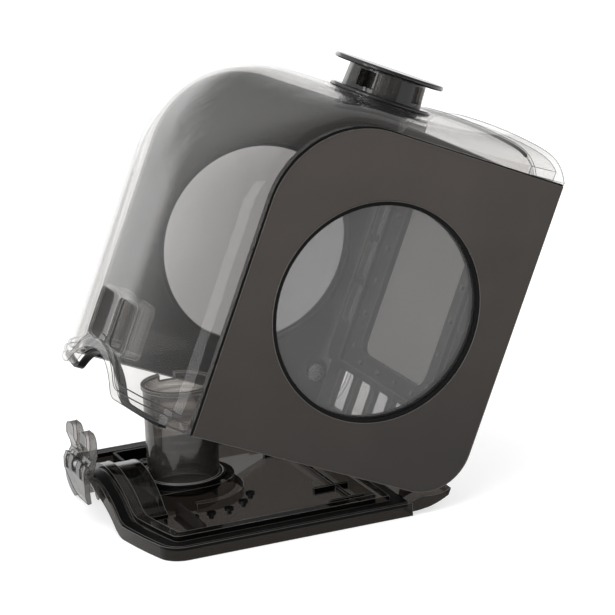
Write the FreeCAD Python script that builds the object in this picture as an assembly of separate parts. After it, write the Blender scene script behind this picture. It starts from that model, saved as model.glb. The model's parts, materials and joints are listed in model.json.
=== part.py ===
import FreeCAD, Part
import math
import os

"""Hinged clear container on a tray, with a standpipe, side windows, a turning cap and a front latch.

Frame, in millimetres: +Z is up, X runs from the latch (-X) to the hinge (+X), and Y runs across the
width. The origin is on the underside of the tray, in the mid-plane, below the centre of the windows
of the closed container. The container is modelled closed, then stored open about its hinge.
"""

Vec = FreeCAD.Vector
X_AXIS = Vec(1, 0, 0)
Y_AXIS = Vec(0, 1, 0)
Z_AXIS = Vec(0, 0, 1)

# ---- whole object
HALF_WIDTH = 93.0            # outer face of a side panel
HINGE_X = 63.0
HINGE_Z = 39.3
OPEN_ANGLE = 23.43           # stored opening of the container, front raised
GAP = 0.05                   # clearance between pieces of one body

# ---- tray
TRAY_FRONT = -115.5          # apex of the bowed front
TRAY_SHOULDER = (-106.0, 76.0)
TRAY_REAR = 49.0
TRAY_CORNER_R = 14.0
RIM_HEIGHT = 8.0
FLOOR_THICK = 2.5
GASKET_INSET = 2.2
GASKET_WIDTH = 5.3
GASKET_TOP = 8.8
RIDGE_INSET = 9.8
RIDGE_WIDTH = 6.5
RIDGE_TOP = 11.2
ARCH_RISE = 19.0             # height of the front arch over the rim
ARCH_R = 48.0
ARCH_FOOT_R = 12.0
RIBBON_DEPTH = 32.0

# ---- standpipe and its pedestal
PIPE_X = -57.0
PIPE_R = 21.5
PIPE_WALL = 2.0
PIPE_TOP = 74.0
PEDESTAL_TOP = 16.0
PEDESTAL_HALF = 26.5

# ---- container, closed
MOUTH_Z = 11.5
PANEL_X0 = -85.5
PANEL_X1 = 88.0
PANEL_TOP = 206.4
PANEL_THICK = 4.4
PANEL_FRONT_R = 57.0
PANEL_REAR_R = 29.5
SEAL_FRONT = 1.8             # width of the panel's edge seal along the front
SEAL_TOP = 1.0
WALL = 2.5
SIDE_WALL_IN = 84.3
SIDE_WALL_OUT = 88.4
SPLIT_X = 68.0               # where the rear cap meets the hood
MOUTH_REAR = 52.0            # rear edge of the open mouth
EAR_SLOT_Y = 76.2            # the slots that clear the hinge ears
EAR_SLOT_TOP = 46.0
HOOD_FRONT = -115.5
HOOD_FRONT_SIDE = -88.9
HOOD_TOP_FRONT = 217.9
HOOD_TOP_REAR = 224.3
HOOD_TOP_SIDE = 208.5
TOP_SAG = 1.4                # how far the crown's mid-line dips below a straight line
LIP_TOP = 8.8                # upper edge of the hood's front lip, over the tray's rim line
STEP_TOP = 12.3
LIP_OUT = 2.2                # how far the lip stands out of the hood's front

# ---- windows
WINDOW_Z = 106.3
WINDOW_R = 65.0
RING_IN_R = 62.5
LENS_R = 63.6
LENS_THICK = 2.2
LENS_OUT_Y = 90.2

# ---- turning cap on the crown
KNOB_X = 4.6
SEAT_Z = 217.3               # flat seat in the crown under the cap
SEAT_R = 33.0
SEAT_THICK = 3.0
COLLAR_R = 27.0
COLLAR_IN_R = 20.0
KNOB_BASE_Z = 217.9
KNOB_BASE_R = 31.3
KNOB_BASE_THICK = 2.8
KNOB_SPIGOT_R = 19.3
KNOB_NECK_R = 24.5
KNOB_NECK_TOP_R = 23.6
KNOB_NECK_H = 13.7
KNOB_DISC_R = 33.8
KNOB_DISC_THICK = 3.0

# ---- rear frame and screen
FRAME_X = 71.0
FRAME_THICK = 4.0
SCREEN_HALF = 45.0
SCREEN_Z0 = 64.0
SCREEN_Z1 = 186.0
MEMBER = 16.5

# ---- latch
LATCH_X = -122.0
LATCH_PIVOT_Z = 34.4
LATCH_PIN_R = 1.4
LATCH_HALF = 17.7            # outer side of a prong
PRONG_INNER = 4.7
PRONG_TOP = 57.0
CHEEK_Y0 = 10.6              # the two cheeks that hold the pin
CHEEK_Y1 = 13.8
POCKET_Y = 15.5              # middle of each latch pocket in the hood
POCKET_HALF = 11.2
POCKET_Z0 = 34.8
POCKET_Z1 = 64.2


# ------------------------------------------------------------------ helpers
def box(x0, x1, y0, y1, z0, z1):
    return Part.makeBox(x1 - x0, y1 - y0, z1 - z0, Vec(x0, y0, z0))


def cylinder(radius, start, length, axis):
    return Part.makeCylinder(radius, length, Vec(*start), axis)


def tube(r_out, r_in, start, length, axis):
    return cylinder(r_out, start, length, axis).cut(cylinder(r_in, start, length, axis))


def prism(points, direction):
    wire = Part.makePolygon([Vec(*p) for p in points] + [Vec(*points[0])])
    return Part.Face(wire).extrude(Vec(*direction))


def mirrored(shape):
    return shape.mirror(Vec(0, 0, 0), Y_AXIS)


def fused(shapes):
    result = shapes[0]
    if len(shapes) > 1:
        result = shapes[0].fuse(shapes[1:])
    return result.removeSplitter()


def upright_edges(shape, axis):
    """Straight edges of a shape that run along an axis."""
    found = []
    for edge in shape.Edges:
        if len(edge.Vertexes) != 2:
            continue
        run = edge.Vertexes[1].Point.sub(edge.Vertexes[0].Point)
        if run.Length > 1e-6 and abs(abs(run.normalize().dot(axis)) - 1.0) < 1e-6:
            found.append(edge)
    return found


def rounded_box(x0, x1, y0, y1, z0, z1, radius, axis):
    block = box(x0, x1, y0, y1, z0, z1)
    return block.makeFillet(radius, upright_edges(block, axis))


def opened(shape):
    """Turns a piece of the container from closed to the stored open pose."""
    turned = shape.copy()
    turned.rotate(Vec(HINGE_X, 0, HINGE_Z), Y_AXIS, OPEN_ANGLE)
    return turned


def save(node, shape):
    shape.exportStep("parts/" + node + ".step")


# ------------------------------------------------------------------ tray outlines
def tray_face(inset):
    """The tray's outline seen from above, moved inwards."""
    shoulder_x, shoulder_y = TRAY_SHOULDER
    sagitta = shoulder_x - TRAY_FRONT
    radius = (shoulder_y ** 2 + sagitta ** 2) / (2 * sagitta)
    side = HALF_WIDTH - inset
    side_x = TRAY_FRONT + radius - math.sqrt(radius ** 2 - side ** 2) + inset
    rear = TRAY_REAR - inset
    bow = Part.Arc(Vec(side_x, -side, 0), Vec(TRAY_FRONT + inset, 0, 0), Vec(side_x, side, 0)).toShape()
    corners = [Vec(side_x, side, 0), Vec(rear, side, 0), Vec(rear, -side, 0), Vec(side_x, -side, 0)]
    lines = [Part.LineSegment(a, b).toShape() for a, b in zip(corners, corners[1:])]
    return Part.Face(Part.Wire([bow] + lines))


def tray_prism(inset, z0, z1):
    block = tray_face(inset).extrude(Vec(0, 0, z1 - z0))
    block.translate(Vec(0, 0, z0))
    front = [e for e in upright_edges(block, Z_AXIS) if e.Vertexes[0].Point.x < 0]
    return block.makeFillet(max(TRAY_CORNER_R - inset, 2.0), front)


def arch_edges(z_shift):
    """The rim's elevation across the front: level, up over the arch, level again."""
    foot_z = RIM_HEIGHT + ARCH_FOOT_R
    crown_z = RIM_HEIGHT + ARCH_RISE - ARCH_R
    reach = ARCH_R + ARCH_FOOT_R
    foot_y = math.sqrt(reach ** 2 - (foot_z - crown_z) ** 2)
    share = ARCH_R / reach
    join = Vec(0, foot_y * share, crown_z + (foot_z - crown_z) * share + z_shift)
    lean = math.atan2(foot_y, foot_z - crown_z) / 2
    foot_mid = Vec(0, foot_y - ARCH_FOOT_R * math.sin(lean), foot_z - ARCH_FOOT_R * math.cos(lean) + z_shift)
    foot = Vec(0, foot_y, RIM_HEIGHT + z_shift)
    apex = Vec(0, 0, RIM_HEIGHT + ARCH_RISE + z_shift)
    end = Vec(0, 110.0, RIM_HEIGHT + z_shift)
    flip = [Vec(0, -p.y, p.z) for p in (join, foot_mid, foot, end)]
    return [
        Part.LineSegment(flip[3], flip[2]).toShape(),
        Part.Arc(flip[2], flip[1], flip[0]).toShape(),
        Part.Arc(flip[0], apex, join).toShape(),
        Part.Arc(join, foot_mid, foot).toShape(),
        Part.LineSegment(foot, end).toShape(),
    ]


def arch_band(low, high, x0, x1):
    """Solid between two copies of the arch line, low and high of the rim, along X."""
    bottom = arch_edges(low)
    top = arch_edges(high)
    sides = []
    for sign in (-1, 1):
        a = Vec(0, sign * 110.0, RIM_HEIGHT + low)
        b = Vec(0, sign * 110.0, RIM_HEIGHT + high)
        sides.append(Part.LineSegment(a, b).toShape())
    wire = Part.Wire(Part.__sortEdges__(bottom + top + sides))
    band = Part.Face(wire).extrude(Vec(x1 - x0, 0, 0))
    band.translate(Vec(x0, 0, 0))
    return band


def ring_band(inset, width, low, high):
    """A strip of the rim: arched across the front and level round the sides and rear."""
    tall = tray_prism(inset, -5, 60).cut(tray_prism(inset + width, -5, 60))
    front = tall.common(arch_band(low, high, -130, 0))
    rest = tall.common(box(0, 130, -110, 110, RIM_HEIGHT + low, RIM_HEIGHT + high))
    return fused([front, rest])


# ------------------------------------------------------------------ tray pieces
def make_tray_pan():
    rim_width = RIDGE_INSET + RIDGE_WIDTH
    rim = ring_band(0, rim_width, -RIM_HEIGHT, 0)
    groove = ring_band(GASKET_INSET, GASKET_WIDTH, -2.6, 5)
    ridge = ring_band(RIDGE_INSET, RIDGE_WIDTH, -0.5, RIDGE_TOP - RIM_HEIGHT)
    floor = tray_prism(rim_width - 0.5, 0, FLOOR_THICK)
    clear_of_arch = box(-130, -98, -46, 46, -1, FLOOR_THICK + 1)
    ribbon_area = box(TRAY_FRONT, TRAY_FRONT + RIBBON_DEPTH, -42, 42, -5, 60).common(tray_prism(14, -5, 60))
    ribbon = ribbon_area.common(arch_band(-1.0, 1.5, -130, 0))
    back_wall = box(TRAY_FRONT + RIBBON_DEPTH - 2.5, TRAY_FRONT + RIBBON_DEPTH, -40, 40, 0, 60)
    back_wall = back_wall.common(arch_band(-30, 1.5, -130, 0)).common(box(-130, 0, -60, 60, 0, 60))
    pan = fused([rim.cut(groove), ridge, floor.cut(clear_of_arch), ribbon, back_wall])
    pan = fused([pan, pedestal(), rear_curl()] + floor_ribs())
    pan = pan.cut(cylinder(PIPE_R - PIPE_WALL, (PIPE_X, 0, -1), 40, Z_AXIS))
    pan = pan.cut(cylinder(PIPE_R + GAP, (PIPE_X, 0, PEDESTAL_TOP - 6), 40, Z_AXIS))
    for x, y in screw_places():
        pan = pan.cut(cylinder(1.5, (x, y, -1), 12, Z_AXIS))
    return pan


def pedestal():
    """Raised seat of the standpipe, straight at the sides and round at the rear."""
    front = TRAY_FRONT + RIBBON_DEPTH - 1
    base = box(front, PIPE_X, -PEDESTAL_HALF, PEDESTAL_HALF, 0, PEDESTAL_TOP)
    round_end = cylinder(PEDESTAL_HALF, (PIPE_X + 4, 0, 0), PEDESTAL_TOP, Z_AXIS)
    link = box(PIPE_X, PIPE_X + 4, -PEDESTAL_HALF, PEDESTAL_HALF, 0, PEDESTAL_TOP)
    skirt = cylinder(PEDESTAL_HALF + 5, (PIPE_X + 4, 0, 0), 8, Z_AXIS)
    skirt = skirt.common(box(PIPE_X - 4, 0, -60, 60, 0, 20))
    return fused([base, round_end, link, skirt])


def rear_curl():
    """Trough behind the tray that wraps the container's rounded rear corner."""
    half = HALF_WIDTH - 0.8
    inner_r = PANEL_REAR_R - 0.1

    def on_arc(angle):
        a = math.radians(angle)
        return Vec(HINGE_X + inner_r * math.cos(a), -half, HINGE_Z + inner_r * math.sin(a))

    toe = Vec(72.8, -half, 8.4)
    heel = Vec(TRAY_REAR - 1.5, -half, 2.2)
    join = Vec(TRAY_REAR - 1.5, -half, RIM_HEIGHT)
    outline = Part.Wire([
        Part.Arc(heel, Vec(62.0, -half, 3.9), toe).toShape(),
        Part.LineSegment(toe, on_arc(-67)).toShape(),
        Part.Arc(on_arc(-67), on_arc(-85), on_arc(-104)).toShape(),
        Part.LineSegment(on_arc(-104), join).toShape(),
        Part.LineSegment(join, heel).toShape(),
    ])
    return Part.Face(outline).extrude(Vec(0, 2 * half, 0))


def floor_ribs():
    """Low stiffening ribs of the floor behind the standpipe."""
    ribs = []
    for y in (-62, -38, 38, 62):
        ribs.append(box(10, 40, y - 1, y + 1, FLOOR_THICK - 0.5, 7.0))
    ribs.append(box(24, 26, -62, 62, FLOOR_THICK - 0.5, 6.0))
    return ribs


def screw_places():
    """Centres of the screws round the pedestal."""
    side = [(-66, 38), (-55, 37), (-43, 35), (-31, 28), (-22, 17)]
    return side + [(x, -y) for x, y in side]


def make_pan_screws():
    screws = []
    for x, y in screw_places():
        head = cylinder(2.8, (x, y, FLOOR_THICK), 1.6, Z_AXIS)
        shank = cylinder(1.4, (x, y, 0.4), FLOOR_THICK, Z_AXIS)
        slot = box(x - 2, x + 2, y - 0.35, y + 0.35, FLOOR_THICK + 1.0, 6)
        screws.append(head.fuse(shank).cut(slot))
    return Part.makeCompound(screws)


def make_tray_gasket():
    return ring_band(GASKET_INSET + GAP, GASKET_WIDTH - 2 * GAP, -2.6 + GAP, GASKET_TOP - RIM_HEIGHT)


def make_standpipe():
    base_z = PEDESTAL_TOP - 6 + GAP
    pipe = tube(PIPE_R, PIPE_R - PIPE_WALL, (PIPE_X, 0, base_z), PIPE_TOP - base_z, Z_AXIS)
    lip = tube(PIPE_R + 0.8, PIPE_R - PIPE_WALL, (PIPE_X, 0, PIPE_TOP - 2), 2, Z_AXIS)
    foot = tube(PIPE_R + 2.0, PIPE_R - PIPE_WALL, (PIPE_X, 0, PEDESTAL_TOP + GAP), 2, Z_AXIS)
    notch = box(PIPE_X - 5, PIPE_X + 5, 10, 30, PIPE_TOP - 4, PIPE_TOP + 1)
    return fused([pipe, lip, foot]).cut(notch)


def make_pipe_seal():
    return tube(PIPE_R + 3.4, PIPE_R + 2.0 + GAP, (PIPE_X, 0, PEDESTAL_TOP), 1.6, Z_AXIS)


def make_tray_baffle():
    """Upright cross plate beside the pedestal."""
    plate = box(-75.0, -73.0, -76, -31, FLOOR_THICK, 12.5)
    foot = box(-77.0, -71.0, -74, -33, FLOOR_THICK, FLOOR_THICK + 1.2)
    return fused([plate, foot])


def make_corner_frame():
    """Open rectangular frame in the far front corner, with a centre boss."""
    outer = rounded_box(-76, -22, 46, 75.5, FLOOR_THICK, 11.0, 3, Z_AXIS)
    inner = rounded_box(-74, -24, 48, 73.5, FLOOR_THICK + 1.5, 20, 2, Z_AXIS)
    boss = tube(3.2, 1.4, (-60, 61, FLOOR_THICK + 1), 4, Z_AXIS)
    return fused([outer.cut(inner), boss])


# ------------------------------------------------------------------ hinge
def make_hinge_ear():
    """Upright lug on the tray that carries one hinge pin (left side, +Y)."""
    y0 = 77.4
    y1 = 82.4
    eye = cylinder(9, (HINGE_X, y0, HINGE_Z), y1 - y0, Y_AXIS)
    web = prism([(46, y0, 2.6), (74, y0, 9.5), (HINGE_X + 8.5, y0, HINGE_Z - 3),
                 (HINGE_X - 8.5, y0, HINGE_Z - 3)], (0, y1 - y0, 0))
    ear = fused([eye, web])
    return ear.cut(cylinder(6.0 + GAP, (HINGE_X, y0 - 1, HINGE_Z), 10, Y_AXIS))


def make_hinge_bush():
    return tube(6.0, 4.06, (HINGE_X, 77.2, HINGE_Z), 5.4, Y_AXIS)


def make_hinge_pin():
    """Stub pin fixed in the container's side wall (left side, +Y)."""
    shank = cylinder(4.0, (HINGE_X, EAR_SLOT_Y, HINGE_Z), SIDE_WALL_OUT - EAR_SLOT_Y - GAP, Y_AXIS)
    head = cylinder(5.4, (HINGE_X, 74.6, HINGE_Z), 1.8, Y_AXIS)
    return fused([shank, head])


# ------------------------------------------------------------------ container envelope
def bow(u, apex, side, power):
    return apex + (side - apex) * abs(u) ** power


def crown(u, peak, flatten):
    return HOOD_TOP_SIDE + (peak - HOOD_TOP_SIDE) * (1 - abs(u) ** 9) * (1 - flatten * u * u)


def envelope_wire(y, wall):
    """Closed XZ outline of the container at one width.

    With a wall it is the outline of the inside, which runs out through the open mouth.
    """
    u = y / HALF_WIDTH
    front = bow(u, HOOD_FRONT, HOOD_FRONT_SIDE, 3.2) + wall
    top_front = crown(u, HOOD_TOP_FRONT, 0.16) - wall
    top_rear = crown(u, HOOD_TOP_REAR, 0.30) - wall
    open_out = 1 - abs(u) ** 3
    reach_x = PANEL_FRONT_R + 43 * open_out - wall
    reach_z = PANEL_FRONT_R + 31 * open_out - wall
    bulge = 0.5523
    slope = (top_rear - top_front - 4 * TOP_SAG) / (PANEL_X1 - front - reach_x)
    rear = PANEL_X1 - wall
    bottom = MOUTH_Z + wall
    rear_r = PANEL_REAR_R - wall
    start = Vec(front, y, bottom)
    corner_low = Vec(front, y, top_front - reach_z)
    corner_high = Vec(front + reach_x, y, top_front)
    pull = reach_x * bulge
    curve = Part.BezierCurve()
    curve.setPoles([corner_low, Vec(front, y, top_front - reach_z * (1 - bulge)),
                    Vec(front + reach_x - pull, y, top_front - slope * pull), corner_high])
    rear_top = Vec(rear, y, top_rear)
    rear_low = Vec(rear, y, bottom + rear_r)
    turn = rear_r * (1 - math.sqrt(0.5))
    rear_mid = Vec(rear - turn, y, bottom + turn)
    rear_end = Vec(rear - rear_r, y, bottom)
    top_mid = (corner_high + rear_top) * 0.5 - Vec(0, 0, TOP_SAG)
    edges = [
        curve.toShape(),
        Part.Arc(corner_high, top_mid, rear_top).toShape(),
        Part.LineSegment(rear_top, rear_low).toShape(),
        Part.Arc(rear_low, rear_mid, rear_end).toShape(),
    ]
    path = [rear_end]
    if wall:
        below = MOUTH_Z - 8
        path += [Vec(MOUTH_REAR, y, bottom), Vec(MOUTH_REAR, y, below)]
        start = Vec(front, y, below)
    path += [start, corner_low]
    edges += [Part.LineSegment(a, b).toShape() for a, b in zip(path, path[1:])]
    return Part.Wire(edges)


def envelope(half, wall):
    """Lofted solid of the container's outer form, or of its inside."""
    shares = [0, 0.2, 0.4, 0.58, 0.72, 0.83, 0.91, 0.965, 1.0]
    stations = [-s * half for s in reversed(shares[1:])] + [s * half for s in shares]
    return Part.makeLoft([envelope_wire(y, wall) for y in stations], True, False)


def panel_face(grow_front, grow_top, y):
    """Outline of a side panel, optionally grown over its edge seal."""
    x0 = PANEL_X0 - grow_front
    z1 = PANEL_TOP + grow_top
    r = PANEL_FRONT_R
    q = PANEL_REAR_R
    k = 1 - math.sqrt(0.5)
    rear = PANEL_X1 + (5 if grow_top else 0)
    p = [Vec(x0, y, MOUTH_Z), Vec(x0, y, z1 - r), Vec(x0 + r * k, y, z1 - r * k), Vec(x0 + r, y, z1),
         Vec(rear, y, z1), Vec(rear, y, MOUTH_Z + q), Vec(rear - q * k, y, MOUTH_Z + q * k),
         Vec(rear - q, y, MOUTH_Z)]
    return Part.Face(Part.Wire([
        Part.LineSegment(p[0], p[1]).toShape(),
        Part.Arc(p[1], p[2], p[3]).toShape(),
        Part.LineSegment(p[3], p[4]).toShape(),
        Part.LineSegment(p[4], p[5]).toShape(),
        Part.Arc(p[5], p[6], p[7]).toShape(),
        Part.LineSegment(p[7], p[0]).toShape(),
    ]))


def notch_block(x0, x1):
    """Space under the arched part of the container's front edge."""
    lift = MOUTH_Z - RIM_HEIGHT
    return arch_band(-40, lift, x0, x1)


def flange_prism(inset, z0, z1):
    points = []
    for i in range(25):
        u = -1 + i / 12.0
        x = bow(u, HOOD_FRONT - LIP_OUT, HOOD_FRONT_SIDE - 0.8, 3.6) + inset
        points.append(Vec(x, u * (HALF_WIDTH - 0.2), z0))
    curve = Part.BSplineCurve()
    curve.interpolate(points)
    rear = -60.0
    side = HALF_WIDTH - 0.2
    corners = [points[-1], Vec(rear, side, z0), Vec(rear, -side, z0), points[0]]
    lines = [Part.LineSegment(a, b).toShape() for a, b in zip(corners, corners[1:])]
    return Part.Face(Part.Wire([curve.toShape()] + lines)).extrude(Vec(0, 0, z1 - z0))


def make_envelope_shell():
    outer = envelope(HALF_WIDTH, 0)
    inner = envelope(SIDE_WALL_IN, WALL)
    lip = flange_prism(0, 0, 60).common(arch_band(MOUTH_Z - RIM_HEIGHT, LIP_TOP, -130, -60))
    step = flange_prism(1.4, 0, 60).common(arch_band(LIP_TOP - 0.5, STEP_TOP, -130, -60))
    shell = outer.fuse([lip, step]).cut(inner)
    shell = shell.cut(notch_block(-130, -70))
    seat = cylinder(SEAT_R + 2, (KNOB_X, 0, SEAT_Z - SEAT_THICK), SEAT_THICK + 1, Z_AXIS)
    shell = shell.fuse(seat).cut(cylinder(SEAT_R, (KNOB_X, 0, SEAT_Z), 30, Z_AXIS))
    for sign in (-1, 1):
        y0 = SIDE_WALL_OUT if sign > 0 else -SIDE_WALL_OUT - 10
        recess = panel_face(SEAL_FRONT, SEAL_TOP, y0).extrude(Vec(0, 10, 0))
        shell = shell.cut(recess)
        ear_y = sorted((sign * EAR_SLOT_Y, sign * SIDE_WALL_IN))
        shell = shell.cut(box(40, 100, ear_y[0], ear_y[1], 0, EAR_SLOT_TOP))
    shell = shell.cut(cylinder(WINDOW_R + GAP, (0, -110, WINDOW_Z), 220, Y_AXIS))
    for side in (-1, 1):
        shell = shell.cut(pocket_block(0, -130, -95, side))
        shell = shell.cut(pocket_block(1.8 + GAP, -112.7, -95, side))
    shell = shell.cut(cylinder(COLLAR_R + GAP, (KNOB_X, 0, 200), 60, Z_AXIS))
    pin_bore = cylinder(4.0 + GAP / 5, (HINGE_X, -SIDE_WALL_OUT, HINGE_Z), 2 * SIDE_WALL_OUT, Y_AXIS)
    return shell.cut(pin_bore)


def make_side_panel():
    """Opaque side panel (left side, +Y)."""
    y0 = HALF_WIDTH - PANEL_THICK
    plate = panel_face(0, 0, y0).extrude(Vec(0, PANEL_THICK, 0))
    return plate.cut(cylinder(WINDOW_R + GAP, (0, y0 - 1, WINDOW_Z), 10, Y_AXIS))


def make_panel_seal():
    """Strip that seals the front and top edges of a side panel (left side, +Y)."""
    y0 = HALF_WIDTH - PANEL_THICK
    outer = panel_face(SEAL_FRONT - GAP, SEAL_TOP - GAP, y0).extrude(Vec(0, PANEL_THICK - 0.3, 0))
    inner = panel_face(GAP, GAP, y0 - 1).extrude(Vec(0, 10, 0))
    keep = box(-100, PANEL_X1, 80, 100, MOUTH_Z, 230)
    return outer.cut(inner).common(keep).cut(box(PANEL_X1 - 20, 120, 80, 100, 0, PANEL_TOP))


def make_window_ring():
    """Gasket ring of a side window (left side, +Y)."""
    ring = tube(WINDOW_R, RING_IN_R, (0, SIDE_WALL_IN, WINDOW_Z), HALF_WIDTH - SIDE_WALL_IN - 0.2, Y_AXIS)
    groove_y = LENS_OUT_Y - LENS_THICK - GAP
    groove = cylinder(LENS_R + GAP, (0, groove_y, WINDOW_Z), LENS_THICK + 2 * GAP, Y_AXIS)
    return ring.cut(groove)


def make_window_lens():
    return cylinder(LENS_R, (0, LENS_OUT_Y - LENS_THICK, WINDOW_Z), LENS_THICK, Y_AXIS)


def make_mouth_seal():
    """Lip seal along the inside of the mouth, raised over the front arch."""
    tall = tray_prism(3.4, -5, 60).cut(tray_prism(8.2, -5, 60)).common(box(-130, -80, -110, 110, -5, 60))
    front = tall.common(arch_band(1.4, MOUTH_Z - RIM_HEIGHT - GAP, -130, -60))
    return front.cut(box(-130, 0, 80, 110, -5, 60)).cut(box(-130, 0, -110, -80, -5, 60))


# ------------------------------------------------------------------ rear frame and screen
def make_rear_frame():
    half = SCREEN_HALF + MEMBER
    x1 = FRAME_X + FRAME_THICK
    y_out = SIDE_WALL_IN - GAP
    plate = rounded_box(FRAME_X, x1, -y_out, y_out, 50.0, 205, 6, X_AXIS)
    low = rounded_box(FRAME_X, x1, -75.5, 75.5, 20.0, 56, 3, X_AXIS)
    frame = fused([plate, low])
    window = rounded_box(FRAME_X - 1, x1 + 1, -SCREEN_HALF, SCREEN_HALF, SCREEN_Z0, SCREEN_Z1, 9, X_AXIS)
    frame = frame.cut(window)
    slots = [(z, z + 25.0) for z in (76, 105, 134, 163)]
    for z0, z1 in slots:
        for sign in (-1, 1):
            y = sorted((sign * (half + 0.5), sign * (y_out - 3.5)))
            frame = frame.cut(rounded_box(FRAME_X - 1, x1 + 1, y[0], y[1], z0, z1, 2.5, X_AXIS))
    for y in (-60, -35, -10, 15, 40):
        frame = frame.cut(rounded_box(FRAME_X - 1, x1 + 1, y, y + 20, 24, 49, 2.5, X_AXIS))
    rib = box(FRAME_X - 3.5, FRAME_X + 0.5, half - 1.6, half, 52, 198)
    return fused([frame, rib, mirrored(rib), box(FRAME_X - 3.5, FRAME_X + 0.5, -half, half, 52, 53.6)])


def make_screen_pane():
    x0 = FRAME_X + FRAME_THICK + GAP
    half = SCREEN_HALF + 6
    return rounded_box(x0, x0 + 1.5, -half, half, SCREEN_Z0 - 6, SCREEN_Z1 + 6, 8, X_AXIS)


def pin_places():
    """Centres of the stake pins round the screen."""
    side = SCREEN_HALF + 7.0
    places = []
    for i in range(7):
        z = 66.0 + 21.3 * i
        places.append((side, z))
        places.append((-side, z))
    for y in (-36.5, -12.2, 12.2, 36.5):
        places.append((y, SCREEN_Z0 - 5.5))
    return places


def make_screen_pins():
    pins = []
    for y, z in pin_places():
        pins.append(cylinder(1.5, (FRAME_X - 1.6, y, z), 1.6 - GAP, X_AXIS))
    return Part.makeCompound(pins)


# ------------------------------------------------------------------ keeper for the latch
def pocket_block(grow, x0, x1, side):
    """Rounded block over one latch pocket; side is -1 or 1."""
    y_mid = side * POCKET_Y
    half = POCKET_HALF + grow
    low = POCKET_Z0 - grow
    high = POCKET_Z1 + grow
    return rounded_box(x0, x1, y_mid - half, y_mid + half, low, high, 4 + grow, X_AXIS)


def make_latch_keeper():
    """Two pocket liners side by side behind the openings in the front wall."""
    liners = []
    for side in (-1, 1):
        cup = pocket_block(1.8, -112.6, -102, side).cut(pocket_block(0, -130, -103.6, side))
        y_mid = side * POCKET_Y
        rib = box(-106.0, -103.0, y_mid - 0.6, y_mid + 0.6, POCKET_Z0 - 0.5, POCKET_Z1 + 0.5)
        liners.append(fused([cup, rib]))
    return fused(liners)


# ------------------------------------------------------------------ turning cap
def make_knob_collar():
    """Sealing collar in the crown's port, round the cap's spigot."""
    low = SEAT_Z - SEAT_THICK
    return tube(COLLAR_R, COLLAR_IN_R, (KNOB_X, 0, low), SEAT_THICK, Z_AXIS)


def outer_rim(shape, radius):
    """Circular edges of a given radius."""
    return [e for e in shape.Edges if abs(e.BoundBox.XLength - 2 * radius) < 0.01]


def make_knob_base():
    """Round flange with a spigot through the collar and three retaining tabs below it."""
    flange = tube(KNOB_BASE_R, KNOB_SPIGOT_R - 2, (KNOB_X, 0, KNOB_BASE_Z), KNOB_BASE_THICK, Z_AXIS)
    flange = flange.makeFillet(1.2, outer_rim(flange, KNOB_BASE_R))
    low = SEAT_Z - SEAT_THICK - 3.4
    spigot = tube(KNOB_SPIGOT_R, KNOB_SPIGOT_R - 2, (KNOB_X, 0, low), KNOB_BASE_Z + 1 - low, Z_AXIS)
    tabs = []
    for i in range(3):
        tab = box(KNOB_X + KNOB_SPIGOT_R - 1, KNOB_X + KNOB_SPIGOT_R + 3.4, -5, 5, low, low + 2.2)
        tab.rotate(Vec(KNOB_X, 0, 0), Z_AXIS, 120.0 * i + 20)
        tabs.append(tab)
    return fused([flange, spigot] + tabs)


def make_knob_neck():
    """Clear neck with a core, four openings and upright ribs."""
    z0 = KNOB_BASE_Z + KNOB_BASE_THICK + GAP
    wall = 2.0
    outer = Part.makeCone(KNOB_NECK_R, KNOB_NECK_TOP_R, KNOB_NECK_H, Vec(KNOB_X, 0, z0))
    inner = Part.makeCone(KNOB_NECK_R - wall, KNOB_NECK_TOP_R - wall, KNOB_NECK_H, Vec(KNOB_X, 0, z0))
    neck = outer.cut(inner)
    core = tube(14.0, 12.2, (KNOB_X, 0, z0), KNOB_NECK_H, Z_AXIS)
    ribs = []
    for i in range(8):
        rib = box(KNOB_X + 13.5, KNOB_X + KNOB_NECK_TOP_R - 1.0, -0.8, 0.8, z0, z0 + KNOB_NECK_H)
        rib.rotate(Vec(KNOB_X, 0, 0), Z_AXIS, 45.0 * i + 12)
        ribs.append(rib)
    opening = box(KNOB_X + 20, KNOB_X + 30, -6, 6, z0 + 2.2, z0 + KNOB_NECK_H - 1.5)
    for i in range(4):
        cutter = opening.copy()
        cutter.rotate(Vec(KNOB_X, 0, 0), Z_AXIS, 90.0 * i + 35)
        neck = neck.cut(cutter)
    return fused([neck, core] + ribs)


def make_knob_disc():
    z0 = KNOB_BASE_Z + KNOB_BASE_THICK + KNOB_NECK_H + 2 * GAP
    disc = cylinder(KNOB_DISC_R, (KNOB_X, 0, z0), KNOB_DISC_THICK, Z_AXIS)
    return disc.makeFillet(1.3, outer_rim(disc, KNOB_DISC_R))


# ------------------------------------------------------------------ latch
def side_profile(points, y0, y1):
    """Prism across the width from an XZ outline."""
    return prism([(x, y0, z) for x, z in points], (0, y1 - y0, 0))


def latch_bore(radius):
    return cylinder(radius, (LATCH_X, -30, LATCH_PIVOT_Z), 60, Y_AXIS)


def make_latch_bracket():
    """Two cheeks on the front of the arch, joined by a plate, that carry the latch pin."""
    cheek = [(-121.0, LATCH_PIVOT_Z), (-118.3, LATCH_PIVOT_Z), (-118.3, 28.0), (-114.5, 25.6),
             (-114.5, 18.0), (-115.6, 15.5), (-116.2, 15.5), (-117.0, 19.5), (-120.0, 27.0)]
    pieces = [box(-117.0, -114.5, -CHEEK_Y1, CHEEK_Y1, 22.0, 25.4)]
    for y0, y1 in ((CHEEK_Y0, CHEEK_Y1), (-CHEEK_Y1, -CHEEK_Y0)):
        pieces.append(side_profile(cheek, y0, y1))
        pieces.append(cylinder(2.9, (LATCH_X, y0, LATCH_PIVOT_Z), y1 - y0, Y_AXIS))
    return fused(pieces).cut(latch_bore(LATCH_PIN_R + 0.02))


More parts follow.
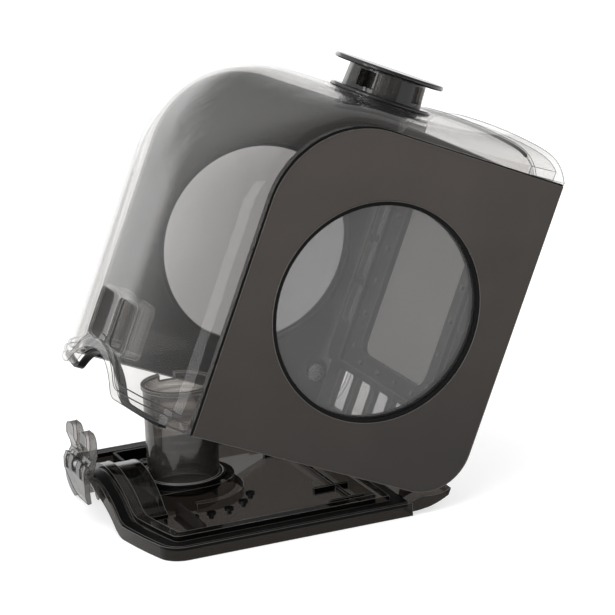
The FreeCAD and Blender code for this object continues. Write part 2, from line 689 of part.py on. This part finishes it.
def make_latch_pin():
    return cylinder(LATCH_PIN_R, (LATCH_X, -CHEEK_Y1 - 1, LATCH_PIVOT_Z), 2 * CHEEK_Y1 + 2, Y_AXIS)


def make_latch_lever():
    """Lever with two flared prongs above its pivot and a tapered, leaning grip below it."""
    prong = [(-121.9, PRONG_TOP), (-116.6, PRONG_TOP), (-116.0, 51.0), (-116.0, 44.5), (-117.4, 39.5),
             (-118.9, LATCH_PIVOT_Z), (-123.5, LATCH_PIVOT_Z), (-121.8, 38.0), (-120.0, 41.0), (-120.4, 44.0),
             (-122.4, 50.0)]
    grip_side = [(-121.6, 37.5), (-123.6, 38.5), (-125.2, 35.0), (-125.4, 29.5), (-122.9, 17.0),
                 (-120.3, 11.3), (-118.5, 11.9), (-120.0, 17.5), (-122.4, 28.0), (-122.2, 33.0)]
    pieces = [cylinder(3.1, (LATCH_X, -LATCH_HALF, LATCH_PIVOT_Z), 2 * LATCH_HALF, Y_AXIS)]
    for y0, y1 in ((PRONG_INNER, LATCH_HALF), (-LATCH_HALF, -PRONG_INNER)):
        rounding = rounded_box(-130, -110, y0, y1, 25, PRONG_TOP, 3.6, X_AXIS)
        pieces.append(side_profile(prong, y0, y1).common(rounding))
    front = [(0, -LATCH_HALF, 40), (0, LATCH_HALF, 40), (0, LATCH_HALF, 28), (0, 6.5, 10), (0, -6.5, 10),
             (0, -LATCH_HALF, 28)]
    grip = side_profile(grip_side, -LATCH_HALF, LATCH_HALF)
    pieces.append(grip.common(prism([(-130, y, z) for _, y, z in front], (20, 0, 0))))
    lever = fused(pieces)
    for y0, y1 in ((CHEEK_Y0 - 0.5, CHEEK_Y1 + 0.5), (-CHEEK_Y1 - 0.5, -CHEEK_Y0 + 0.5)):
        lever = lever.cut(box(-127, -112, y0, y1, 29.5, 39.5))
    lever = lever.cut(box(-127, -112, -3.6, 3.6, 30.6, 50.0))
    return lever.cut(latch_bore(LATCH_PIN_R + 0.05))


def make_latch_spring():
    """Torsion spring on the middle of the latch pin: closed turns with a short leg."""
    pieces = []
    for i in range(4):
        pieces.append(tube(2.7, LATCH_PIN_R + 0.3, (LATCH_X, -2.9 + 1.5 * i, LATCH_PIVOT_Z), 1.3, Y_AXIS))
    pieces.append(box(LATCH_X - 0.5, LATCH_X + 0.5, -2.9, 2.9, LATCH_PIVOT_Z + 1.8, LATCH_PIVOT_Z + 2.6))
    pieces.append(box(LATCH_X + 1.7, LATCH_X + 2.6, -2.9, -1.6, 28.6, LATCH_PIVOT_Z))
    return fused(pieces)


# ------------------------------------------------------------------ all pieces
def main():
    os.makedirs("parts", exist_ok=True)
    pan = make_tray_pan()
    save("tray_pan", pan)
    save("tray_gasket", make_tray_gasket())
    save("pan_screws", make_pan_screws())
    save("standpipe", make_standpipe())
    save("pipe_seal", make_pipe_seal())
    save("tray_baffle", make_tray_baffle())
    save("corner_frame", make_corner_frame())
    save("latch_bracket", make_latch_bracket().cut(pan))
    save("latch_pin", make_latch_pin())
    save("latch_lever", make_latch_lever())
    save("latch_spring", make_latch_spring())
    ear = max(make_hinge_ear().cut(pan).Solids, key=lambda solid: solid.Volume)
    bush = make_hinge_bush()
    save("hinge_ear_left", ear)
    save("hinge_ear_right", mirrored(ear))
    save("hinge_bush_left", bush)
    save("hinge_bush_right", mirrored(bush))

    shell = make_envelope_shell()
    behind = box(SPLIT_X, 150, -120, 120, 0, 260)
    hinge_side = box(MOUTH_REAR - 5, SPLIT_X, -76.5, 76.5, 0, MOUTH_Z + 8)
    hood = shell.common(box(-150, SPLIT_X - 0.6, -120, 120, 0, 260)).cut(hinge_side)
    cap = shell.common(behind.fuse(hinge_side)).cut(box(SPLIT_X - 1, SPLIT_X + 0.6, -120, 120, 30, 260))
    seal = envelope(SIDE_WALL_OUT - 0.3, 0.6).cut(envelope(SIDE_WALL_IN, WALL))
    seal = seal.common(box(SPLIT_X - 0.6 + GAP, SPLIT_X + 0.6 - GAP, -76, 76, 200, 260))
    save("hood_shell", opened(hood))
    save("rear_cap", opened(cap))
    save("rear_cap_seal", opened(seal))
    pieces = {
        "side_panel": make_side_panel(),
        "panel_seal": make_panel_seal(),
        "window_ring": make_window_ring(),
        "window_lens": make_window_lens(),
        "hinge_pin": make_hinge_pin(),
    }
    for name, shape in pieces.items():
        save(name + "_left", opened(shape))
        save(name + "_right", opened(mirrored(shape)))
    save("mouth_seal", opened(make_mouth_seal()))
    save("rear_frame", opened(make_rear_frame()))
    save("screen_pane", opened(make_screen_pane()))
    save("screen_pins", opened(make_screen_pins()))
    save("latch_keeper", opened(make_latch_keeper()))
    save("knob_collar", opened(make_knob_collar()))
    save("knob_base", opened(make_knob_base()))
    save("knob_neck", opened(make_knob_neck()))
    save("knob_disc", opened(make_knob_disc()))


main()
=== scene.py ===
import json
import math

import bmesh
import bpy
from mathutils import Matrix, Vector


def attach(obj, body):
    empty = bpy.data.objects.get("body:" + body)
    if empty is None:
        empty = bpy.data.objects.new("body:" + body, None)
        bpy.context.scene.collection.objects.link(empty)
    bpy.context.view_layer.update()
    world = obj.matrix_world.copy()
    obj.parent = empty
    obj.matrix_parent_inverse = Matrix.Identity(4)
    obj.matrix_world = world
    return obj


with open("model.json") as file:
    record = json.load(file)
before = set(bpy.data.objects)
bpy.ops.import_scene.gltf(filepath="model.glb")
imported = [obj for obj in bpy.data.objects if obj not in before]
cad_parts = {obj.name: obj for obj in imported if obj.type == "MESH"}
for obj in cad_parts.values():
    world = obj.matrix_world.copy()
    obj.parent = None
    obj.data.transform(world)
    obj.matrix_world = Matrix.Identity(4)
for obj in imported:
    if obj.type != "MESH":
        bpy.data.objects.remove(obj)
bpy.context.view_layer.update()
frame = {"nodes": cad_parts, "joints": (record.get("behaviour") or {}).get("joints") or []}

MM = 0.001

# ---- the container's hinge, and the turn from its closed place to the frame's rest pose
HINGE = Vector(frame["joints"][0]["pos_m"])
OPEN_ANGLE = math.radians(23.43)
OPENING = Matrix.Translation(HINGE) @ Matrix.Rotation(OPEN_ANGLE, 4, "Y") @ Matrix.Translation(-HINGE)
CLOSING = OPENING.inverted()

# ---- surface depths of the materials
GRAIN_DEPTH = 0.04 * MM
DRAWN_LINE_DEPTH = 0.03 * MM
RIPPLE_DEPTH = 0.6 * MM
THREAD_PITCH = 0.5 * MM

# ---- heights between which the painted shade by height goes from its lower to its upper value
SHADE_FOOT = 30 * MM
SHADE_TOP = 210 * MM

# ---- gloss of clear plastic: how fast it rises towards glancing angles, and by how much
GLANCE_POWER = 3.5
GLANCE_GAIN = 0.52

# ---- where beads run: how sharp a crease has to be, and the limits of three of the sets
CREASE_ANGLE = math.radians(35)
WELD_DISTANCE = 0.02 * MM
PANEL_FACE_Y = 91.5 * MM
TRAY_FOOT = 3 * MM
HOOD_FOOT_TOP = 70 * MM

# ---- studio: directions that the two bright parts of the surroundings lie in, and the camera
PALE_SIDE = (-0.86, 0.20, 0.46)
BACKDROP_SIDE = (-0.03, 0.994, -0.10)
CAMERA_PLACE = Vector((-0.6069, -1.5076, 0.5842))
CAMERA_BACK = Vector((-0.3725, -0.8847, 0.2803)).normalized()
CAMERA_ROLL = math.radians(-2.72)
CAMERA_LENS = 166.8
CAMERA_SENSOR = 36.0


# ------------------------------------------------------------------ materials
class Nodes:
    """Builds one material's node tree."""

    def __init__(self, name):
        self.material = bpy.data.materials.new(name)
        self.material.use_nodes = True
        self.tree = self.material.node_tree
        self.tree.nodes.clear()
        self.output = self.add("ShaderNodeOutputMaterial")
        self.place = self.add("ShaderNodeTexCoord").outputs["Object"]

    def add(self, kind, **values):
        """Adds a node; a value sets the property of that name, or else the input."""
        node = self.tree.nodes.new(kind)
        for key, value in values.items():
            if hasattr(node, key):
                setattr(node, key, value)
            else:
                node.inputs[key].default_value = value
        return node

    def link(self, source, target):
        self.tree.links.new(source, target)

    def noise(self, scale, detail=3.0, stretch=None):
        """Noise in the object's own metres; stretch scales the three axes."""
        source = self.place
        if stretch:
            mapping = self.add("ShaderNodeMapping")
            mapping.inputs["Scale"].default_value = stretch
            self.link(source, mapping.inputs["Vector"])
            source = mapping.outputs["Vector"]
        noise = self.add("ShaderNodeTexNoise", Scale=scale, Detail=detail)
        self.link(source, noise.inputs["Vector"])
        return noise.outputs["Fac"]

    def ramp(self, source, low, high, at=(0.3, 0.7)):
        """Blends two colours, or two greys, over a stretch of a 0 to 1 value."""
        ramp = self.add("ShaderNodeValToRGB")
        for element, colour, position in zip(ramp.color_ramp.elements, (low, high), at):
            element.position = position
            rgb = colour if isinstance(colour, tuple) else (colour, colour, colour)
            element.color = (*rgb, 1.0)
        self.link(source, ramp.inputs["Fac"])
        return ramp.outputs["Color"]

    def paint_height_shade(self, colour, low, high):
        """Paints shade by height: multiplies a colour by low near the floor, rising to high towards the top
        of the part.
        """
        split = self.add("ShaderNodeSeparateXYZ")
        self.link(self.place, split.inputs["Vector"])
        height = self.add("ShaderNodeMapRange")
        height.inputs["From Min"].default_value = SHADE_FOOT
        height.inputs["From Max"].default_value = SHADE_TOP
        self.link(split.outputs["Z"], height.inputs["Value"])
        blend = self.add("ShaderNodeMix", data_type="RGBA", blend_type="MULTIPLY")
        blend.inputs["Factor"].default_value = 1.0
        self.link(colour, blend.inputs["A"])
        self.link(self.ramp(height.outputs["Result"], low, high, (0.0, 1.0)), blend.inputs["B"])
        return blend.outputs["Result"]

    def bump(self, source, strength, distance):
        bump = self.add("ShaderNodeBump", Strength=strength, Distance=distance)
        self.link(source, bump.inputs["Height"])
        return bump.outputs["Normal"]


def scaled(colour, factor):
    return tuple(min(channel * factor, 1.0) for channel in colour)


def moulded(name, colour, rough, vary=0.12, grain=0.12, coat=0.0, grain_scale=2600.0, shine=0.5, painted_height_shade=None):
    """Opaque moulded plastic: mottled colour, uneven gloss and a fine grain; the last argument, when given,
    paints shade by height, darker near the floor and lighter towards the top.
    """
    nodes = Nodes(name)
    shader = nodes.add("ShaderNodeBsdfPrincipled")
    cloud = nodes.noise(26.0, 4.0)
    fine = nodes.noise(grain_scale, 2.0)
    mottled = nodes.ramp(cloud, scaled(colour, 1 - vary), scaled(colour, 1 + vary))
    # painted shade by height: darker near the floor, lighter towards the top
    if painted_height_shade:
        mottled = nodes.paint_height_shade(mottled, *painted_height_shade)
    nodes.link(mottled, shader.inputs["Base Color"])
    nodes.link(nodes.ramp(nodes.noise(60.0, 5.0), rough * 0.85, rough * 1.2), shader.inputs["Roughness"])
    nodes.link(nodes.bump(fine, grain, GRAIN_DEPTH), shader.inputs["Normal"])
    shader.inputs["Specular IOR Level"].default_value = shine
    shader.inputs["Coat Weight"].default_value = coat
    shader.inputs["Coat Roughness"].default_value = 0.05
    nodes.link(shader.outputs["BSDF"], nodes.output.inputs["Surface"])
    return nodes.material


def metal(name, colour, rough):
    """Plain drawn steel with fine lines along Y."""
    nodes = Nodes(name)
    shader = nodes.add("ShaderNodeBsdfPrincipled", Metallic=1.0)
    lines = nodes.noise(900.0, 3.0, (1.0, 0.04, 1.0))
    nodes.link(nodes.ramp(lines, scaled(colour, 0.85), scaled(colour, 1.1)), shader.inputs["Base Color"])
    nodes.link(nodes.ramp(lines, rough * 0.8, rough * 1.3), shader.inputs["Roughness"])
    nodes.link(nodes.bump(lines, 0.15, DRAWN_LINE_DEPTH), shader.inputs["Normal"])
    nodes.link(shader.outputs["BSDF"], nodes.output.inputs["Surface"])
    return nodes.material


def glance(nodes, normal, least, floor_least):
    """Reflectance of a clear face, from either side: least when seen face on, or floor_least if level."""
    weight = nodes.add("ShaderNodeLayerWeight", Blend=0.5)
    nodes.link(normal, weight.inputs["Normal"])
    power = nodes.add("ShaderNodeMath", operation="POWER")
    nodes.link(weight.outputs["Facing"], power.inputs[0])
    power.inputs[1].default_value = GLANCE_POWER
    share = nodes.add("ShaderNodeMath", operation="MULTIPLY_ADD")
    nodes.link(power.outputs[0], share.inputs[0])
    share.inputs[1].default_value = GLANCE_GAIN
    share.inputs[2].default_value = least
    if floor_least is not None:
        nodes.link(nodes.ramp(level_share(nodes), least, floor_least, (0.0, 1.0)), share.inputs[2])
    return share.outputs[0]


def level_share(nodes):
    """One on level faces and nought on upright ones."""
    split = nodes.add("ShaderNodeSeparateXYZ")
    nodes.link(nodes.add("ShaderNodeNewGeometry").outputs["Normal"], split.inputs["Vector"])
    upright = nodes.add("ShaderNodeMath", operation="ABSOLUTE")
    nodes.link(split.outputs["Z"], upright.inputs[0])
    return nodes.ramp(upright.outputs[0], 0.0, 1.0, (0.35, 0.75))


def walled(nodes, flat, wall):
    """Gives upright walls a tint of their own and keeps the flat one on level floors."""
    mix = nodes.add("ShaderNodeMix", data_type="RGBA")
    nodes.link(level_share(nodes), mix.inputs["Factor"])
    mix.inputs["A"].default_value = (*wall, 1.0)
    nodes.link(flat, mix.inputs["B"])
    return mix.outputs["Result"]


def clear(name, face, edge, haze, haze_colour, rough=0.03, flow=6.0, bands=None, wall=None, least=0.04,
          floor_least=None):
    """See-through plastic under a gloss, tinted by face where seen face on and by edge at glancing angles;
    an edge tint lighter than face is painted reflection.

    haze is the share of dull haze_colour in it, flow the scale of its slow streaks, and bands that of level
    bands in their place. wall is the tint of upright walls, where they have one of their own.
    """
    nodes = Nodes(name)
    weight = nodes.add("ShaderNodeLayerWeight", Blend=0.5)
    if bands:
        body = nodes.ramp(nodes.noise(bands, 1.0, (0.02, 0.02, 1.0)), scaled(face, 0.55), scaled(face, 1.30))
    else:
        body = nodes.ramp(nodes.noise(flow, 2.0, (1.0, 1.0, 0.5)), scaled(face, 0.95), scaled(face, 1.04))
    # the edge tint takes over at glancing angles; where it is lighter than the face tint it is painted
    # reflection
    tint = nodes.add("ShaderNodeMix", data_type="RGBA")
    nodes.link(nodes.ramp(weight.outputs["Facing"], 0.0, 1.0, (0.0, 0.6)), tint.inputs["Factor"])
    nodes.link(body, tint.inputs["A"])
    tint.inputs["B"].default_value = (*edge, 1.0)
    through = nodes.add("ShaderNodeBsdfTransparent")
    passed = tint.outputs["Result"]
    if wall:
        passed = walled(nodes, passed, wall)
    nodes.link(passed, through.inputs["Color"])
    cloud = nodes.add("ShaderNodeBsdfDiffuse")
    dull = nodes.ramp(nodes.noise(40.0, 4.0), scaled(haze_colour, 0.9), scaled(haze_colour, 1.1))
    nodes.link(dull, cloud.inputs["Color"])
    body_mix = nodes.add("ShaderNodeMixShader", Fac=haze)
    nodes.link(through.outputs["BSDF"], body_mix.inputs[1])
    nodes.link(cloud.outputs["BSDF"], body_mix.inputs[2])
    ripple = nodes.bump(nodes.noise(flow * 5, 1.0), 0.03, RIPPLE_DEPTH)
    gloss = nodes.add("ShaderNodeBsdfGlossy")
    nodes.link(nodes.ramp(nodes.noise(70.0, 4.0), rough * 0.7, rough * 1.4), gloss.inputs["Roughness"])
    nodes.link(ripple, gloss.inputs["Normal"])
    top = nodes.add("ShaderNodeMixShader")
    nodes.link(glance(nodes, ripple, least, floor_least), top.inputs[0])
    nodes.link(body_mix.outputs["Shader"], top.inputs[1])
    nodes.link(gloss.outputs["BSDF"], top.inputs[2])
    nodes.link(top.outputs["Shader"], nodes.output.inputs["Surface"])
    return nodes.material


def mesh_cloth(name, colour, pitch):
    """Fine woven screen: a see-through sheet, a little denser along two crossed sets of threads."""
    nodes = Nodes(name)
    split = nodes.add("ShaderNodeSeparateXYZ")
    nodes.link(nodes.place, split.inputs["Vector"])
    waves = []
    for axis in ("Y", "Z"):
        turn = nodes.add("ShaderNodeMath", operation="MULTIPLY")
        nodes.link(split.outputs[axis], turn.inputs[0])
        turn.inputs[1].default_value = 2 * math.pi / pitch
        wave = nodes.add("ShaderNodeMath", operation="SINE")
        nodes.link(turn.outputs[0], wave.inputs[0])
        waves.append(wave.outputs[0])
    both = nodes.add("ShaderNodeMath", operation="MAXIMUM")
    nodes.link(waves[0], both.inputs[0])
    nodes.link(waves[1], both.inputs[1])
    threads = nodes.add("ShaderNodeBsdfPrincipled", Roughness=0.6)
    mottled = nodes.ramp(nodes.noise(300.0), scaled(colour, 0.8), scaled(colour, 1.2))
    nodes.link(mottled, threads.inputs["Base Color"])
    through = nodes.add("ShaderNodeBsdfTransparent", Color=(0.82, 0.82, 0.81, 1.0))
    mix = nodes.add("ShaderNodeMixShader")
    nodes.link(nodes.ramp(both.outputs[0], 0.30, 0.42, (0.40, 1.0)), mix.inputs[0])
    nodes.link(through.outputs["BSDF"], mix.inputs[1])
    nodes.link(threads.outputs["BSDF"], mix.inputs[2])
    nodes.link(mix.outputs["Shader"], nodes.output.inputs["Surface"])
    return nodes.material


# The hood's edge tint is lighter than its face tint: painted reflection, brightening the hood where it is
# seen at glancing angles.
hood_clear = clear("hood_clear", face=(0.70, 0.69, 0.68), edge=(0.91, 0.905, 0.90), haze=0.015,
                   haze_colour=(0.50, 0.49, 0.48), least=0.018)
cap_clear = clear("cap_clear", face=(1.0, 0.995, 0.99), edge=(0.98, 0.975, 0.97), haze=0.12,
                  haze_colour=(0.90, 0.89, 0.88))
lens_clear = clear("lens_clear", face=(0.69, 0.685, 0.685), edge=(0.62, 0.615, 0.615), haze=0.08,
                   haze_colour=(0.34, 0.34, 0.34), flow=3.0)
latch_clear = clear("latch_clear", face=(0.72, 0.71, 0.70), edge=(0.30, 0.29, 0.28), haze=0.12,
                    haze_colour=(0.36, 0.35, 0.34), rough=0.06)
pipe_clear = clear("pipe_clear", face=(0.66, 0.645, 0.63), edge=(0.34, 0.325, 0.31), haze=0.10,
                   haze_colour=(0.20, 0.19, 0.18), rough=0.07, bands=420.0)
tray_clear = clear("tray_clear", face=(0.44, 0.425, 0.41), edge=(0.32, 0.305, 0.29), haze=0.08,
                   haze_colour=(0.03, 0.028, 0.025), rough=0.04, wall=(0.12, 0.11, 0.10), least=0.006,
                   floor_least=0.05)
keeper_clear = clear("keeper_clear", face=(0.92, 0.915, 0.91), edge=(0.92, 0.915, 0.91), haze=0.13,
                     haze_colour=(0.50, 0.49, 0.48), least=0.05)
neck_clear = clear("neck_clear", face=(0.62, 0.61, 0.60), edge=(0.14, 0.135, 0.13), haze=0.06,
                   haze_colour=(0.10, 0.10, 0.10))
# The panel's colour is painted darker near the floor and lighter towards its top: painted shade and painted
# light by height.
panel_satin = moulded("panel_satin", (0.041, 0.0345, 0.0305), 0.36, vary=0.08, grain=0.03,
                      grain_scale=1800.0, shine=0.25, painted_height_shade=(0.55, 1.25))
tray_gloss = moulded("tray_gloss", (0.016, 0.014, 0.013), 0.16, vary=0.20, grain=0.05, coat=0.1, shine=0.25)
rubber = moulded("rubber", (0.003, 0.003, 0.003), 0.38, vary=0.25, grain=0.2, shine=0.08)
black_gloss = moulded("black_gloss", (0.006, 0.006, 0.006), 0.14, vary=0.2, grain=0.04, coat=0.15)
frame_satin = moulded("frame_satin", (0.055, 0.050, 0.047), 0.42, vary=0.12)
pin_satin = moulded("pin_satin", (0.16, 0.155, 0.15), 0.40)
steel = metal("steel", (0.42, 0.42, 0.43), 0.28)
screen_cloth = mesh_cloth("screen_cloth", (0.10, 0.098, 0.095), THREAD_PITCH)

# ---- the material of each CAD node, left and right ones under one name
BY_NODE = {
    "tray_pan": tray_clear, "tray_gasket": rubber, "pan_screws": black_gloss, "standpipe": pipe_clear,
    "pipe_seal": rubber, "tray_baffle": tray_gloss, "corner_frame": tray_clear, "latch_bracket": latch_clear,
    "latch_pin": steel, "latch_spring": steel, "latch_lever": latch_clear, "hinge_ear": tray_gloss,
    "hinge_bush": black_gloss, "hood_shell": hood_clear, "rear_cap": cap_clear, "rear_cap_seal": rubber,
    "side_panel": panel_satin, "panel_seal": rubber, "window_ring": rubber, "window_lens": lens_clear,
    "hinge_pin": steel, "mouth_seal": rubber, "rear_frame": frame_satin, "screen_pane": screen_cloth,
    "screen_pins": pin_satin, "latch_keeper": keeper_clear, "knob_collar": rubber, "knob_base": black_gloss,
    "knob_neck": neck_clear, "knob_disc": black_gloss,
}


def paint(piece, material):
    """Puts one material on every slot of a piece."""
    piece.data.materials.clear()
    piece.data.materials.append(material)


for node, piece in frame["nodes"].items():
    base = node.removesuffix("_left").removesuffix("_right")
    paint(piece, BY_NODE[base])


# ------------------------------------------------------------------ beads along the creases, painted highlight and painted shade lines
# The dark and the smoky bead colours are painted shade lines along the creases of clear parts.
painted_shade_edge = moulded("painted_shade_edge", (0.020, 0.019, 0.018), 0.20, coat=0.3)
edge_trim = moulded("edge_trim", (0.045, 0.038, 0.033), 0.25, coat=0.2)
# The pale bead colour is a painted highlight along creases.
painted_highlight_edge = moulded("painted_highlight_edge", (0.22, 0.215, 0.21), 0.20, coat=0.4)
painted_smoky_shade_edge = moulded("painted_smoky_shade_edge", (0.060, 0.057, 0.054), 0.20, coat=0.3)


def crease_runs(node, keep):
    """A node's creases as runs of joined points, from a welded copy of its mesh.

    The edges are taken by their index in the mesh, so the runs come out the same each time.
    """
    mesh = bmesh.new()
    mesh.from_mesh(frame["nodes"][node].data)
    bmesh.ops.remove_doubles(mesh, verts=mesh.verts, dist=WELD_DISTANCE)
    mesh.edges.index_update()
    creases = {}
    for edge in mesh.edges:
        middle = (edge.verts[0].co + edge.verts[1].co) / 2
        if len(edge.link_faces) == 2 and edge.calc_face_angle(0) > CREASE_ANGLE and keep(middle):
            creases[edge.index] = edge
    runs = []
    while creases:
        first = creases.popitem()[1]
        run = [first.verts[0], first.verts[1]]
        for _ in ("forwards", "backwards"):
            while True:
                onward = [edge for edge in run[-1].link_edges if edge.index in creases]
                if len(onward) != 1:
                    break
                creases.pop(onward[0].index)
                run.append(onward[0].other_vert(run[-1]))
            run.reverse()
        runs.append([vertex.co.copy() for vertex in run])
    mesh.free()
    return runs


def make_bead(name, node, body, material, radius, keep=lambda middle: True):
    """Rounded bead along a node's creases, as moulded edges catch or lose the light: its shape and gloss
    catch real light, while a pale bead colour is a painted highlight and a dark one painted shade.
    """
    curve = bpy.data.curves.new(name, "CURVE")
    curve.dimensions = "3D"
    curve.bevel_depth = radius
    curve.bevel_resolution = 1
    curve.use_fill_caps = True
    for run in crease_runs(node, keep):
        closed = len(run) > 3 and run[0] == run[-1]
        if closed:
            run.pop()
        spline = curve.splines.new("POLY")
        spline.use_cyclic_u = closed
        spline.points.add(len(run) - 1)
        for point, place in zip(spline.points, run):
            point.co = (*place, 1.0)
    piece = bpy.data.objects.new(name, curve)
    bpy.context.scene.collection.objects.link(piece)
    paint(piece, material)
    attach(piece, body)


def on_panel_face(middle):
    return abs(middle.y) > PANEL_FACE_Y


def above_tray_foot(middle):
    return middle.z > TRAY_FOOT


def low_on_closed_hood(middle):
    return (CLOSING @ middle).z < HOOD_FOOT_TOP


def make_beads():
    for side in ("left", "right"):
        make_bead("panel_trim_" + side, "side_panel_" + side, "container", edge_trim,
                  0.35 * MM, on_panel_face)
    # painted shade lines along the clear lever's and keeper's edges
    make_bead("lever_edges", "latch_lever", "latch", painted_shade_edge, 0.22 * MM)
    make_bead("keeper_edges", "latch_keeper", "container", painted_shade_edge, 0.25 * MM)
    # painted highlight lines along the standpipe's and rear frame's edges
    make_bead("pipe_edges", "standpipe", "tray", painted_highlight_edge, 0.3 * MM)
    make_bead("frame_edges", "rear_frame", "container", painted_highlight_edge, 0.25 * MM)
    # painted shade lines along the cap's, the tray's and the hood lip's edges
    make_bead("cap_edges", "rear_cap", "container", painted_shade_edge, 0.2 * MM)
    make_bead("tray_edges", "tray_pan", "tray", painted_smoky_shade_edge, 0.18 * MM, above_tray_foot)
    make_bead("hood_edges", "hood_shell", "container", painted_shade_edge, 0.22 * MM,
              low_on_closed_hood)


make_beads()


# ------------------------------------------------------------------ studio
def make_floor():
    """Pale floor, just under the part, with some light of its own."""
    nodes = Nodes("floor_pale")
    shader = nodes.add("ShaderNodeBsdfPrincipled", Roughness=0.7)
    nodes.link(nodes.ramp(nodes.noise(2.0), 0.46, 0.49), shader.inputs["Base Color"])
    shader.inputs["Emission Color"].default_value = (1, 1, 1, 1)
    shader.inputs["Emission Strength"].default_value = 0.66
    nodes.link(shader.outputs["BSDF"], nodes.output.inputs["Surface"])
    bpy.ops.mesh.primitive_plane_add(size=12.0, location=(0, 0, -0.0004))
    floor = bpy.context.object
    floor.name = "floor"
    paint(floor, nodes.material)


def area_light(name, place, target, size, power, glints=True):
    """Soft light aimed at a target; without glints it doesn't show in reflections."""
    data = bpy.data.lights.new(name, "AREA")
    data.shape = "RECTANGLE"
    data.size, data.size_y = size
    data.energy = power
    lamp = bpy.data.objects.new(name, data)
    lamp.location = place
    lamp.rotation_euler = (Vector(target) - Vector(place)).to_track_quat("-Z", "Y").to_euler()
    lamp.visible_glossy = glints
    bpy.context.scene.collection.objects.link(lamp)


def rising_grey(tree, direction, towards, starts, ends, dark, pale):
    """Grey that goes from dark to pale as the direction turns towards the one given."""
    facing = tree.nodes.new("ShaderNodeVectorMath")
    facing.operation = "DOT_PRODUCT"
    facing.inputs[1].default_value = towards
    tree.links.new(direction, facing.inputs[0])
    ramp = tree.nodes.new("ShaderNodeValToRGB")
    for element, position, grey in zip(ramp.color_ramp.elements, (starts, ends), (dark, pale)):
        element.position = position
        element.color = (grey, grey, grey, 1.0)
    tree.links.new(facing.outputs["Value"], ramp.inputs["Fac"])
    return ramp.outputs["Color"]


def make_surroundings():
    """Pale on one side and darker on the other, with a lit backdrop behind the part."""
    world = bpy.data.worlds.new("studio")
    world.use_nodes = True
    tree = world.node_tree
    direction = tree.nodes.new("ShaderNodeTexCoord").outputs["Generated"]
    room = rising_grey(tree, direction, PALE_SIDE, starts=0.05, ends=0.95, dark=0.32, pale=1.0)
    backdrop = rising_grey(tree, direction, BACKDROP_SIDE, starts=0.865, ends=0.90, dark=0.0, pale=1.0)
    both = tree.nodes.new("ShaderNodeVectorMath")
    both.operation = "ADD"
    tree.links.new(room, both.inputs[0])
    tree.links.new(backdrop, both.inputs[1])
    tree.links.new(both.outputs["Vector"], tree.nodes["Background"].inputs["Color"])
    tree.nodes["Background"].inputs["Strength"].default_value = 1.3
    bpy.context.scene.world = world
    bpy.context.scene.view_settings.view_transform = "Standard"
    bpy.context.scene.cycles.transparent_max_bounces = 40


def make_lights():
    area_light("overhead", (-0.2, -0.2, 1.3), (0, 0, 0.1), (1.0, 0.7), 9.0, glints=False)
    area_light("front_left", (-1.4, -0.9, 0.9), (0, 0, 0.12), (0.5, 1.0), 5.0)
    area_light("left_strip", (-1.6, -0.35, 0.5), (0, 0, 0.12), (0.22, 1.2), 3.6)
    area_light("back_strip", (0.5, 1.2, 0.9), (0, 0, 0.15), (0.9, 0.3), 5.0, glints=False)


def make_camera():
    """Looks at the part from its latch end and its right side (-Y), a little from above, slightly rolled."""
    level = Vector((-CAMERA_BACK.y, CAMERA_BACK.x, 0)).normalized()
    upright = CAMERA_BACK.cross(level)
    right = level * math.cos(CAMERA_ROLL) + upright * math.sin(CAMERA_ROLL)
    up = CAMERA_BACK.cross(right)
    data = bpy.data.cameras.new("camera")
    data.sensor_width = CAMERA_SENSOR
    data.lens = CAMERA_LENS
    camera = bpy.data.objects.new("camera", data)
    turn = Matrix((right, up, CAMERA_BACK)).transposed().to_4x4()
    camera.matrix_world = Matrix.Translation(CAMERA_PLACE) @ turn
    bpy.context.scene.collection.objects.link(camera)
    bpy.context.scene.camera = camera


make_floor()
make_surroundings()
make_lights()
make_camera()
